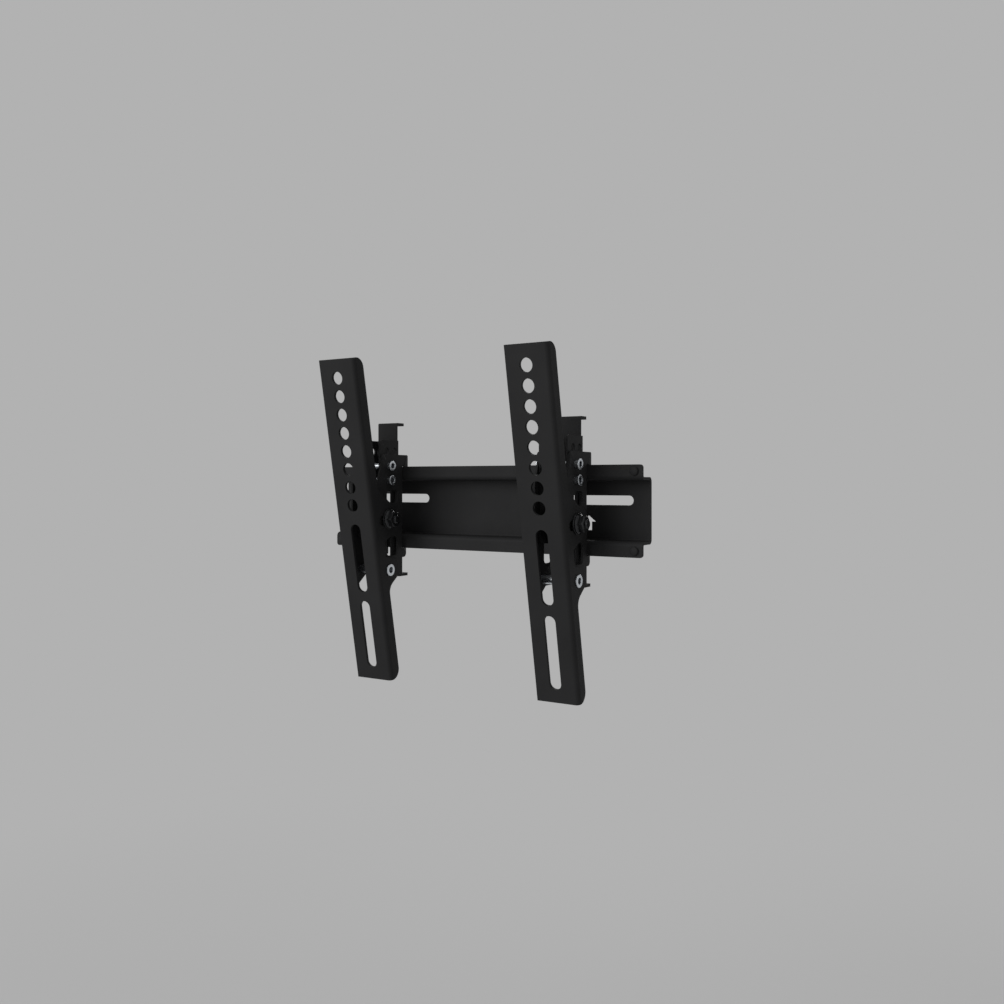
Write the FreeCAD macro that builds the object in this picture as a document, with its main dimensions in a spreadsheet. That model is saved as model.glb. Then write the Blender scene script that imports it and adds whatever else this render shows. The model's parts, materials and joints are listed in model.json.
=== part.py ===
import FreeCAD, Part
import math
import os
import Sketcher

# A tilting wall mount for a flat screen: a rail plate, and two arms that hang on it.
# X runs along the rail, Y points into the wall, Z is up, in millimetres and degrees.
# The origin is the centre of the plate's back face, so the wall is the plane Y = 0.

# Driving sizes
SIZES = {
    # Rail plate, one folded sheet of hat section
    "plate_length": 250,
    "plate_height": 59,
    "plate_web_height": 43,
    "plate_sheet": 2,
    "rail_depth": 15,
    "rim_corner": 2,
    "wall_slot_length": 64.9,
    "wall_slot_end_distance": 11.65,
    "wall_slot_width": 6.3,
    "wall_slot_rise": 6.4,
    "arrow_drop": 3.4,
    "arrow_height": 10.1,
    "arrow_head_height": 4.4,
    "arrow_head_width": 11,
    "arrow_shaft_width": 5.2,
    "lug_diameter": 5.5,
    "lug_height": 1.2,
    "lug_end_distance": 5.5,
    "lug_edge_distance": 4.2,
    # Bends
    "bend_radius": 1,
    # Arms, each one folded sheet of L section
    "arm_spacing": 149.2,
    "arm_length": 229,
    "arm_width": 30.5,
    "arm_sheet": 2,
    "arm_flange_depth": 9.6,
    "arm_flange_corner": 7,
    "screen_hole_diameter": 9,
    "screen_hole_pitch": 12.7,
    "screen_hole_count": 8,
    "screen_hole_first": 13.1,
    "screen_hole_offset": 1,
    "screen_slot_first": 115.6,
    "screen_slot_end_distance": 8.7,
    "screen_slot_width": 8.5,
    "screen_slot_gap": 6.7,
    # Tilt: the pivot low in the bracket, and the locking bolt above it
    "pivot_standoff": 34.5,
    "pivot_drop": 44,
    "pivot_from_arm_top": 151,
    "pivot_from_arm_face": 12.5,
    "pivot_ear_reach": 10.5,
    "pivot_ear_side": 5.1,
    "pivot_ear_drop": 12.1,
    "pivot_ear_rise": 10.3,
    "ear_corner": 4.5,
    "ear_root_corner": 8,
    "tilt_angle": 10.6,
    "tilt_least": 0,
    "tilt_most": 12,
    "tilt_bolt_reach": 36.1,
    "tilt_bolt_forward": 1.6,
    "tilt_ear_margin": 3.2,
    "tilt_ear_drop": 10.5,
    "tilt_ear_root": 20.6,
    # Hook bracket, one folded channel
    "bracket_sheet": 1.5,
    "bracket_top": 37.9,
    "bracket_bottom": 48.7,
    "bracket_flat_front": 30,
    "bracket_toe_front": 41.3,
    "bracket_toe_bottom": 57.6,
    "bracket_toe_corner": 2.5,
    "bracket_reach": 9.9,
    "bracket_top_reach": 5,
    "bracket_slant_top": 31,
    "bracket_slant_bottom": 17,
    "bracket_web_bottom": 22,
    "hook_thickness": 3.7,
    "hook_drop": 5,
    "nose_depth": 4.1,
    "nose_height": 6.5,
    "nose_corner": 3,
    "window_front": 33.7,
    "window_rear": 21.2,
    "window_corner": 3,
    "upper_window_bottom": 3.2,
    "upper_window_top": 12.5,
    "lower_window_bottom": -34.3,
    "lower_window_top": -20.5,
    "web_window_width": 13,
    "web_window_bottom": 1,
    "web_window_top": 14,
    # Guide channel, nested in the bracket
    "guide_sheet": 1.2,
    "guide_top": 48.2,
    "guide_web_bottom": 15,
    "guide_bottom": 20,
    "guide_corner": 3,
    "guide_hole_diameter": 5.2,
    "guide_hole_rise": 40.4,
    "guide_hole_front": 31.9,
    "guide_hole_rear": 22.9,
    # Release latch, a channel that slides between the two webs, its grips hemmed
    "latch_sheet": 1,
    "latch_grip": 2,
    "latch_top": 61.2,
    "latch_bottom": 50.2,
    "latch_flange_front": 24.4,
    "latch_flange_top": 14,
    "latch_flange_bottom": 42,
    "latch_opening_width": 11,
    "latch_opening_top": 21.5,
    "latch_opening_bottom": 40,
    "latch_tab_reach": 8,
    "latch_lip_reach": 10.3,
    "latch_corner": 1,
    "tongue_depth": 3,
    "tongue_drop": 2.3,
    "tongue_hold": 5,
    # Latch spring, and what it works between
    "spring_standoff": 24,
    "spring_wire": 0.9,
    "spring_diameter": 7,
    "spring_turns": 5.5,
    "spring_length": 21,
    "spring_tab_width": 10,
    "spring_tab_reach": 10.5,
    "spring_seat_width": 9,
    "spring_strap_width": 6,
    # Cross bolts
    "cross_bolt_diameter": 4,
    "cross_head_diameter": 7,
    "cross_head_height": 0.9,
    "cross_shoulder_diameter": 4.8,
    "cross_shoulder_height": 2.7,
    "cross_socket": 3,
    "cross_socket_depth": 2,
    "cross_nut_flats": 7,
    "cross_nut_height": 3.2,
    "cross_bolt_standoff": 31.2,
    "cross_bolt_rise": 19.55,
    "cross_bolt_pitch": 10.15,
    # Pivot bolt
    "pivot_bolt_diameter": 6,
    "pivot_head_diameter": 8.4,
    "pivot_head_height": 1,
    "pivot_socket": 3,
    "pivot_socket_depth": 1.4,
    "pivot_washer_diameter": 12,
    "pivot_nut_flats": 10,
    "pivot_nut_height": 5,
    # Tilt bolt
    "tilt_bolt_diameter": 6,
    "tilt_bolt_proud": 8,
    "tilt_head_flats": 10,
    "tilt_head_height": 4,
    "tilt_washer_diameter": 14,
    "tilt_washer_thickness": 1.2,
    "tilt_flange_diameter": 13,
    "tilt_flange_thickness": 1.5,
    "tilt_nut_flats": 10,
    "tilt_nut_height": 5.2,
    "tilt_disc_diameter": 16,
    "thread_proud": 1,
    # Clearances
    "rail_clearance": 0.2,
    "nest_clearance": 0.05,
    "slide_clearance": 0.1,
    "bolt_clearance": 0.15,
    "pivot_clearance": 0.05,
    "tilt_slot_clearance": 0.3,
    "tilt_stop_margin": 1,
    "face_clearance": 0.1,
    "arm_side_gap": 1.35,
    "latch_side_gap": 1.9,
}

DOC = FreeCAD.newDocument("wall_mount")
SHEET = DOC.addObject("Spreadsheet::Sheet", "sizes")
for row, (alias, number) in enumerate(SIZES.items(), 1):
    SHEET.set(f"A{row}", alias)
    SHEET.set(f"B{row}", str(number))
    SHEET.setAlias(f"B{row}", alias)
DOC.recompute()


class Size:
    """A size with its number now and the expression that ties it to the sheet."""

    def __init__(self, number, text):
        self.number = number
        self.text = text

    def __add__(self, other):
        other = tied(other)
        return Size(self.number + other.number, f"({self.text} + {other.text})")

    def __sub__(self, other):
        other = tied(other)
        return Size(self.number - other.number, f"({self.text} - {other.text})")

    def __mul__(self, other):
        other = tied(other)
        return Size(self.number * other.number, f"({self.text} * {other.text})")

    def __truediv__(self, other):
        other = tied(other)
        return Size(self.number / other.number, f"({self.text} / {other.text})")

    def __neg__(self):
        return Size(-self.number, f"(-1 * {self.text})")

    def __radd__(self, other):
        return tied(other) + self

    def __rsub__(self, other):
        return tied(other) - self

    def __rmul__(self, other):
        return tied(other) * self


def tied(item):
    """A Size as it is, or a plain number as a Size."""
    return item if isinstance(item, Size) else Size(float(item), f"({float(item)})")


def sine(angle):
    return Size(math.sin(math.radians(angle.number)), f"sin({angle.text})")


def cosine(angle):
    return Size(math.cos(math.radians(angle.number)), f"cos({angle.text})")


class Sheet:
    """The driving sizes by name, as of.plate_length."""

    def __getattr__(self, alias):
        return Size(getattr(SHEET, alias), f"sizes.{alias}")


of = Sheet()


def bind(item, path, size):
    item.setExpression(path, tied(size).text)


def point(place):
    return FreeCAD.Vector(tied(place[0]).number, tied(place[1]).number, 0)


# Sketches

def new_body(label, across=0, standoff=0, rise=0):
    """A body for one piece, with its local origin at a place in the mount."""
    body = DOC.addObject("PartDesign::Body", label)
    body.Label = label
    bind(body, ".Placement.Base.x", across)
    bind(body, ".Placement.Base.y", standoff)
    bind(body, ".Placement.Base.z", rise)
    return body


def new_sketch(body, name, plane, offset=0):
    """A sketch on one of the body's own planes, moved out along that plane's normal."""
    sketch = body.newObject("Sketcher::SketchObject", f"{body.Name}_{name}")
    support = next(item for item in body.Origin.OriginFeatures if item.Role == plane)
    sketch.AttachmentSupport = [(support, "")]
    sketch.MapMode = "FlatFace"
    bind(sketch, ".AttachmentOffset.Base.z", offset)
    return sketch


def measure(sketch, constraint, size):
    index = sketch.addConstraint(constraint)
    bind(sketch, f"Constraints[{index}]", size)


def hold(sketch, geometry, end, place):
    """Fix a point of the sketch by its two distances from the sketch's origin."""
    across, up = tied(place[0]), tied(place[1])
    measure(sketch, Sketcher.Constraint("DistanceX", -1, 1, geometry, end, across.number), across)
    measure(sketch, Sketcher.Constraint("DistanceY", -1, 1, geometry, end, up.number), up)


def draw_loop(sketch, places):
    """A closed outline with straight sides."""
    first = sketch.GeometryCount
    ends = places[1:] + places[:1]
    for start, end in zip(places, ends):
        sketch.addGeometry(Part.LineSegment(point(start), point(end)))
    for index, place in enumerate(places):
        following = first + (index + 1) % len(places)
        sketch.addConstraint(Sketcher.Constraint("Coincident", first + index, 2, following, 1))
        hold(sketch, first + index, 1, place)


def draw_box(sketch, left, right, bottom, top):
    draw_loop(sketch, [(left, bottom), (right, bottom), (right, top), (left, top)])


def draw_circle(sketch, centre, diameter):
    radius = diameter / 2
    index = sketch.addGeometry(Part.Circle(point(centre), FreeCAD.Vector(0, 0, 1), radius.number))
    hold(sketch, index, 3, centre)
    measure(sketch, Sketcher.Constraint("Radius", index, radius.number), radius)


def draw_hexagon(sketch, flats, centre=(0, 0)):
    """A hexagon by the distance across its flats."""
    across, up = centre
    corner = flats / math.sqrt(3)
    turns = [math.radians(60 * step) for step in range(6)]
    draw_loop(sketch, [(across + corner * math.cos(turn), up + corner * math.sin(turn)) for turn in turns])


def add_arc(sketch, centre, radius, start, end):
    circle = Part.Circle(point(centre), FreeCAD.Vector(0, 0, 1), radius)
    return sketch.addGeometry(Part.ArcOfCircle(circle, math.radians(start), math.radians(end)))


def draw_slot(sketch, centre, length, width, upright):
    """A slot with round ends, lying along the sketch's X or standing along its Y."""
    across, up = centre
    reach = (length - width) / 2
    half = width / 2
    if upright:
        ends = [(across, up - reach), (across, up + reach)]
        corners = [(across + half, ends[0][1]), (across + half, ends[1][1]),
                   (across - half, ends[1][1]), (across - half, ends[0][1])]
        turn = 0
    else:
        ends = [(across - reach, up), (across + reach, up)]
        corners = [(ends[0][0], up - half), (ends[1][0], up - half),
                   (ends[1][0], up + half), (ends[0][0], up + half)]
        turn = -90
    one = sketch.addGeometry(Part.LineSegment(point(corners[0]), point(corners[1])))
    far = add_arc(sketch, ends[1], half.number, turn, turn + 180)
    two = sketch.addGeometry(Part.LineSegment(point(corners[2]), point(corners[3])))
    near = add_arc(sketch, ends[0], half.number, turn + 180, turn + 360)
    for leaving, arriving in ((one, far), (far, two), (two, near), (near, one)):
        sketch.addConstraint(Sketcher.Constraint("Coincident", leaving, 2, arriving, 1))
    for line, start, end in ((one, 0, 1), (two, 2, 3)):
        hold(sketch, line, 1, corners[start])
        hold(sketch, line, 2, corners[end])
    kind, axis = ("DistanceY", 1) if upright else ("DistanceX", 0)
    for arc, end in ((near, ends[0]), (far, ends[1])):
        place = tied(end[axis])
        measure(sketch, Sketcher.Constraint(kind, -1, 1, arc, 3, place.number), place)


def draw_arc_slot(sketch, reach, width, start, end):
    """A slot along an arc about the sketch's origin, above it, with round ends."""
    half = width / 2

    def polar(radius, angle):
        return radius * cosine(angle), radius * sine(angle)

    outer = add_arc(sketch, (0, 0), (reach + half).number, start.number, end.number)
    inner = add_arc(sketch, (0, 0), (reach - half).number, start.number, end.number)
    first = add_arc(sketch, polar(reach, start), half.number, start.number + 180, start.number + 360)
    last = add_arc(sketch, polar(reach, end), half.number, end.number, end.number + 180)
    joins = ((outer, 1, first, 2), (outer, 2, last, 1), (inner, 1, first, 1), (inner, 2, last, 2))
    for join in joins:
        sketch.addConstraint(Sketcher.Constraint("Coincident", *join))
    for arc, radius in ((outer, reach + half), (inner, reach - half)):
        hold(sketch, arc, 1, polar(radius, start))
        hold(sketch, arc, 2, polar(radius, end))
        sketch.addConstraint(Sketcher.Constraint("PointOnObject", arc, 3, -1))
    for arc, angle in ((first, start), (last, end)):
        across = polar(reach, angle)[0]
        measure(sketch, Sketcher.Constraint("DistanceX", -1, 1, arc, 3, across.number), across)


# Features

def pad(sketch, length, symmetric=False):
    body = sketch.getParentGeoFeatureGroup()
    feature = body.newObject("PartDesign::Pad", f"{sketch.Name}_pad")
    feature.Profile = sketch
    bind(feature, "Length", length)
    feature.SideType = "Symmetric" if symmetric else "One side"
    return feature


def cut(sketch, length):
    """A pocket that reaches half its length to each side of its sketch."""
    body = sketch.getParentGeoFeatureGroup()
    feature = body.newObject("PartDesign::Pocket", f"{sketch.Name}_cut")
    feature.Profile = sketch
    feature.SideType = "Symmetric"
    bind(feature, "Length", length)
    return feature


def turn(sketch):
    """A full turn about the sketch's own X axis."""
    body = sketch.getParentGeoFeatureGroup()
    feature = body.newObject("PartDesign::Revolution", f"{sketch.Name}_turn")
    feature.Profile = sketch
    feature.ReferenceAxis = (sketch, ["H_Axis"])
    feature.Angle = 360
    return feature


def mirrored(feature, plane):
    body = feature.getParentGeoFeatureGroup()
    copy = body.newObject("PartDesign::Mirrored", f"{feature.Name}_mirror")
    copy.Originals = [feature]
    copy.MirrorPlane = (next(item for item in body.Origin.OriginFeatures if item.Role == plane), [""])
    body.Tip = copy
    return copy


def edges_along(shape, axis, places):
    """Names of the straight edges along one axis (0, 1 or 2) at places in the other two axes."""
    others = [item for item in range(3) if item != axis]
    wanted = [[tied(item).number for item in place] for place in places]
    names = []
    for index, edge in enumerate(shape.Edges, 1):
        start, end = edge.Vertexes[0].Point, edge.Vertexes[-1].Point
        if abs(abs(end[axis] - start[axis]) - edge.Length) > 1e-6:
            continue
        seat = [start[item] for item in others]
        if any(math.dist(seat, place) < 0.01 for place in wanted):
            names.append(f"Edge{index}")
    return names


def fillet(body, name, axis, places, radius):
    """Round the edges of the body's last feature that run along one axis at the places given."""
    DOC.recompute()
    base = body.Tip
    feature = body.newObject("PartDesign::Fillet", f"{body.Name}_{name}")
    feature.Base = (base, edges_along(base.Shape, axis, places))
    bind(feature, "Radius", radius)
    body.Tip = feature


# Places that several pieces share

rim_front = -of.rail_depth
rim_back = rim_front + of.plate_sheet
rim_edge = of.plate_height / 2
web_rear = rim_front - of.rail_clearance
bracket_web_front = web_rear - of.bracket_sheet
latch_rear = bracket_web_front - of.slide_clearance
latch_front = latch_rear - of.latch_sheet
guide_rear = latch_front - of.slide_clearance
channel_front = -of.pivot_standoff - of.bracket_reach
channel_top_front = -of.pivot_standoff - of.bracket_top_reach
arm_outer = of.arm_width / 2
arm_inner = arm_outer - of.arm_sheet
spacer_end = arm_inner - of.face_clearance
bracket_outer = arm_inner - of.arm_side_gap
bracket_inner = bracket_outer - of.bracket_sheet
guide_outer = bracket_inner - of.nest_clearance
guide_inner = guide_outer - of.guide_sheet
arm_face = -of.pivot_from_arm_face
arm_face_back = arm_face + of.arm_sheet
pivot_y = -of.pivot_standoff
pivot_z = -of.pivot_drop
tilt_bolt_y = pivot_y - of.tilt_bolt_forward
tilt_bolt_z = pivot_z + of.tilt_bolt_reach
cross_bolt_y = -of.cross_bolt_standoff
cross_bolt_rises = {"lower": of.cross_bolt_rise, "upper": of.cross_bolt_rise + of.cross_bolt_pitch}
spring_seat_top = -of.guide_bottom
spring_tab_bottom = spring_seat_top + of.spring_length


def build_wall_plate():
    """The rail plate: a hat section whose rims stand off the wall and carry the hooks."""
    body = new_body("wall_plate")
    half_web = of.plate_web_height / 2
    inside = half_web - of.plate_sheet
    web_front = -of.plate_sheet
    upper = [(0, half_web), (rim_back, half_web), (rim_back, rim_edge),
             (rim_front, rim_edge), (rim_front, inside), (web_front, inside)]
    lower = [(across, -up) for across, up in reversed(upper)]
    profile = new_sketch(body, "profile", "YZ_Plane")
    draw_loop(profile, upper + lower)
    pad(profile, of.plate_length, symmetric=True)

    slot_centre = of.plate_length / 2 - of.wall_slot_end_distance - of.wall_slot_length / 2
    holes = new_sketch(body, "wall_openings", "XZ_Plane")
    for side in (-1, 1):
        centre = side * slot_centre
        draw_slot(holes, (centre, of.wall_slot_rise), of.wall_slot_length, of.wall_slot_width, upright=False)
        tip = -of.arrow_drop
        barb = tip - of.arrow_head_height
        foot = tip - of.arrow_height
        head = of.arrow_head_width / 2
        shaft = of.arrow_shaft_width / 2
        draw_loop(holes, [(centre, tip), (centre - head, barb), (centre - shaft, barb),
                          (centre - shaft, foot), (centre + shaft, foot),
                          (centre + shaft, barb), (centre + head, barb)])
    cut(holes, 4 * of.plate_sheet)

    lug_x = of.plate_length / 2 - of.lug_end_distance
    lug_z = rim_edge - of.lug_edge_distance
    lugs = new_sketch(body, "lugs", "XZ_Plane", of.rail_depth)
    dimples = new_sketch(body, "dimples", "XZ_Plane", of.rail_depth - of.plate_sheet)
    for across in (-lug_x, lug_x):
        for up in (-lug_z, lug_z):
            draw_circle(lugs, (across, up), of.lug_diameter)
            draw_circle(dimples, (across, up), of.lug_diameter)
    pad(lugs, of.lug_height)
    cut(dimples, 2 * of.lug_height)

    wide = [(0, half_web), (0, -half_web), (rim_front, inside), (rim_front, -inside)]
    tight = [(web_front, inside), (web_front, -inside), (rim_back, half_web), (rim_back, -half_web)]
    fillet(body, "outer_bends", 0, wide, of.bend_radius + of.plate_sheet)
    fillet(body, "inner_bends", 0, tight, of.bend_radius)
    end = of.plate_length / 2
    corners = [(across, up) for across in (-end, end) for up in (-rim_edge, rim_edge)]
    fillet(body, "rim_corners", 1, corners, of.rim_corner)
    return body


def build_arm(side, centre):
    """An arm, upright with the pivot at its local origin, then tilted about the pivot."""
    body = new_body(f"{side}_screen_arm", centre, pivot_y, pivot_z)
    body.Placement.Rotation = FreeCAD.Rotation(FreeCAD.Vector(1, 0, 0), of.tilt_angle.number)
    bind(body, ".Placement.Rotation.Angle", of.tilt_angle)
    top = of.pivot_from_arm_top
    bottom = top - of.arm_length
    rear = arm_face + of.arm_flange_depth

    face = new_sketch(body, "face", "XZ_Plane", -arm_face_back)
    draw_box(face, -arm_outer, arm_outer, bottom, top)
    pad(face, of.arm_sheet)

    # The ears hold the pivot and the arc slot, each with a wall of its own round the hole
    slot_half = of.tilt_bolt_diameter / 2 + of.tilt_slot_clearance
    lean = of.tilt_bolt_forward / of.tilt_bolt_reach * (180 / math.pi)
    slot_front = 90 + lean - of.tilt_least + of.tilt_stop_margin
    slot_rear = 90 + lean - of.tilt_most - of.tilt_stop_margin
    ear_rear = of.tilt_bolt_reach * cosine(slot_rear) + slot_half + of.tilt_ear_margin
    ear_top = of.tilt_bolt_reach + slot_half + of.tilt_ear_margin
    ear_bottom = of.tilt_bolt_reach - of.tilt_ear_drop
    ear_slant = ear_rear - rear
    reach, ear_side = of.pivot_ear_reach, of.pivot_ear_side
    outline = [(arm_face, bottom), (rear, bottom), (rear, -of.pivot_ear_drop), (reach, -ear_side),
               (reach, ear_side), (rear, of.pivot_ear_rise), (rear, of.tilt_ear_root), (ear_rear, ear_bottom),
               (ear_rear, ear_top), (rear, ear_top + ear_slant), (rear, top), (arm_face, top)]
    flange = new_sketch(body, "flange", "YZ_Plane", arm_inner)
    draw_loop(flange, outline)
    pad(flange, of.arm_sheet)

    holes = new_sketch(body, "screen_hole", "XZ_Plane", -arm_face)
    column_centre = -of.screen_hole_offset
    draw_circle(holes, (column_centre, top - of.screen_hole_first), of.screen_hole_diameter)
    hole = cut(holes, 4 * of.arm_sheet)
    column = body.newObject("PartDesign::LinearPattern", f"{body.Name}_screen_holes")
    column.Originals = [hole]
    column.Direction = (holes, ["V_Axis"])
    column.Reversed = True
    bind(column, "Length", (of.screen_hole_count - 1) * of.screen_hole_pitch)
    bind(column, "Occurrences", of.screen_hole_count)
    body.Tip = column

    slots = new_sketch(body, "screen_slots", "XZ_Plane", -arm_face)
    slots_end = of.arm_length - of.screen_slot_end_distance
    slot_length = (slots_end - of.screen_slot_first - of.screen_slot_gap) / 2
    for step in (0, 1):
        middle = top - of.screen_slot_first - slot_length / 2 - step * (slot_length + of.screen_slot_gap)
        draw_slot(slots, (column_centre, middle), slot_length, of.screen_slot_width, upright=True)
    cut(slots, 4 * of.arm_sheet)

    tilt = new_sketch(body, "tilt_openings", "YZ_Plane", arm_outer)
    draw_circle(tilt, (0, 0), of.pivot_bolt_diameter + 2 * of.pivot_clearance)
    draw_arc_slot(tilt, of.tilt_bolt_reach, 2 * slot_half, slot_rear, slot_front)
    cut(tilt, 4 * of.arm_sheet)

    fillet(body, "flange_corners", 0, [(rear, top), (rear, bottom)], of.arm_flange_corner)
    ear_corners = [(ear_rear, ear_top), (ear_rear, ear_bottom), (reach, ear_side), (reach, -ear_side)]
    fillet(body, "ear_corners", 0, ear_corners, of.ear_corner)
    fillet(body, "ear_root", 0, [(rear, -of.pivot_ear_drop)], of.ear_root_corner)
    fillet(body, "outer_bend", 2, [(arm_outer, arm_face)], of.bend_radius + of.arm_sheet)
    fillet(body, "inner_bend", 2, [(arm_inner, arm_face_back)], of.bend_radius)
    return body


def window_places():
    """Front, rear, bottom and top of the upper and the lower window beside the latch."""
    front, rear = -of.window_front, -of.window_rear
    return [(front, rear, of.upper_window_bottom, of.upper_window_top),
            (front, rear, of.lower_window_bottom, of.lower_window_top)]


def corners_of(box):
    left, right, bottom, top = box
    return [(across, up) for across in (left, right) for up in (bottom, top)]


def build_hook_bracket(side, centre):
    """The channel that hangs on the upper rim, bears on both rims and carries the arm."""
    body = new_body(f"{side}_hook_bracket", centre)
    seat = rim_edge + of.rail_clearance
    hook_front = rim_back + of.rail_clearance
    hook_rear = hook_front + of.hook_thickness
    tip = rim_edge - of.hook_drop
    nose_rear = web_rear + of.nose_depth
    nose_bottom = -seat - of.nose_height
    bottom = -of.bracket_bottom
    toe = (-of.bracket_toe_front, -of.bracket_toe_bottom)
    outline = [(channel_front, pivot_z), (channel_front, of.bracket_slant_bottom),
               (channel_top_front, of.bracket_slant_top), (channel_top_front, of.bracket_top),
               (hook_rear, of.bracket_top), (hook_rear, tip), (hook_front, tip), (hook_front, seat),
               (web_rear, seat), (web_rear, -seat), (nose_rear, -seat), (nose_rear, nose_bottom),
               (web_rear, nose_bottom), (web_rear, bottom), (-of.bracket_flat_front, bottom), toe]
    flange = new_sketch(body, "flange", "YZ_Plane", bracket_inner)
    draw_loop(flange, outline)
    mirrored(pad(flange, of.bracket_sheet), "YZ_Plane")
    web = new_sketch(body, "web", "XZ_Plane", -web_rear)
    draw_box(web, -bracket_outer, bracket_outer, -of.bracket_web_bottom, of.bracket_top)
    pad(web, of.bracket_sheet)

    upper_window, lower_window = window_places()
    openings = new_sketch(body, "openings", "YZ_Plane")
    draw_box(openings, *upper_window)
    draw_circle(openings, (pivot_y, pivot_z), of.pivot_bolt_diameter + 2 * of.bolt_clearance)
    draw_circle(openings, (tilt_bolt_y, tilt_bolt_z), of.tilt_bolt_diameter + 2 * of.bolt_clearance)
    for rise in cross_bolt_rises.values():
        draw_circle(openings, (cross_bolt_y, rise), of.cross_bolt_diameter + 2 * of.bolt_clearance)
    cut(openings, 4 * bracket_outer)

    # Only the flange beside the arm's own flange has the lower window
    lower_opening = new_sketch(body, "lower_opening", "YZ_Plane", bracket_outer)
    draw_box(lower_opening, *lower_window)
    cut(lower_opening, 4 * of.bracket_sheet)

    # The wall screws can be seen through the web's own window
    web_window = new_sketch(body, "web_window", "XZ_Plane", -web_rear)
    window_half = of.web_window_width / 2
    draw_box(web_window, -window_half, window_half, of.web_window_bottom, of.web_window_top)
    cut(web_window, 4 * of.bracket_sheet)

    windows = corners_of(upper_window) + corners_of(lower_window)
    fillet(body, "window_corners", 0, windows, of.window_corner)
    fillet(body, "nose_corner", 0, [(nose_rear, nose_bottom)], of.nose_corner)
    fillet(body, "toe_corner", 0, [toe], of.bracket_toe_corner)
    fillet(body, "top_corner", 0, [(channel_top_front, of.bracket_top)], of.guide_corner)
    small = [(hook_rear, of.bracket_top), (hook_rear, tip), (hook_front, tip)]
    fillet(body, "hook_corners", 0, small, of.hook_thickness / 3)
    bends = [(across, web_rear) for across in (-bracket_outer, bracket_outer)]
    fillet(body, "web_bends", 2, bends, of.bracket_sheet / 2)
    return body


def build_guide_channel(side, centre):
    """The thinner channel nested in the bracket; it guides the latch and seats its spring."""
    body = new_body(f"{side}_guide_channel", centre)
    bottom = spring_seat_top - of.guide_sheet
    flange = new_sketch(body, "flange", "YZ_Plane", guide_inner)
    draw_box(flange, channel_top_front, guide_rear, bottom, of.guide_top)
    mirrored(pad(flange, of.guide_sheet), "YZ_Plane")
    web = new_sketch(body, "web", "XZ_Plane", -guide_rear)
    draw_box(web, -guide_outer, guide_outer, of.guide_web_bottom, of.guide_top)
    pad(web, of.guide_sheet)

    # A strap in front of the latch's flanges ties the two legs and reaches back under the spring
    strap = new_sketch(body, "spring_strap", "XY_Plane", bottom)
    strap_rear = -of.latch_flange_front - of.guide_sheet
    strap_front = strap_rear - of.spring_strap_width
    seat_half = of.spring_seat_width / 2
    seat_rear = latch_front - of.rail_clearance
    draw_loop(strap, [(-guide_outer, strap_front), (guide_outer, strap_front), (guide_outer, strap_rear),
                      (seat_half, strap_rear), (seat_half, seat_rear), (-seat_half, seat_rear),
                      (-seat_half, strap_rear), (-guide_outer, strap_rear)])
    pad(strap, of.guide_sheet)

    openings = new_sketch(body, "openings", "YZ_Plane")
    upper_window = window_places()[0]
    draw_box(openings, *upper_window)
    draw_circle(openings, (tilt_bolt_y, tilt_bolt_z), of.tilt_bolt_diameter + 2 * of.bolt_clearance)
    for rise in cross_bolt_rises.values():
        draw_circle(openings, (cross_bolt_y, rise), of.cross_bolt_diameter + 2 * of.bolt_clearance)
    for standoff in (of.guide_hole_front, of.guide_hole_rear):
        draw_circle(openings, (-standoff, of.guide_hole_rise), of.guide_hole_diameter)
    cut(openings, 4 * bracket_outer)

    fillet(body, "window_corners", 0, corners_of(upper_window), of.window_corner)
    fillet(body, "top_corner", 0, [(channel_top_front, of.guide_top)], of.guide_corner)
    bends = [(across, guide_rear) for across in (-guide_outer, guide_outer)]
    fillet(body, "web_bends", 2, bends, of.guide_sheet / 2)
    return body


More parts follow.
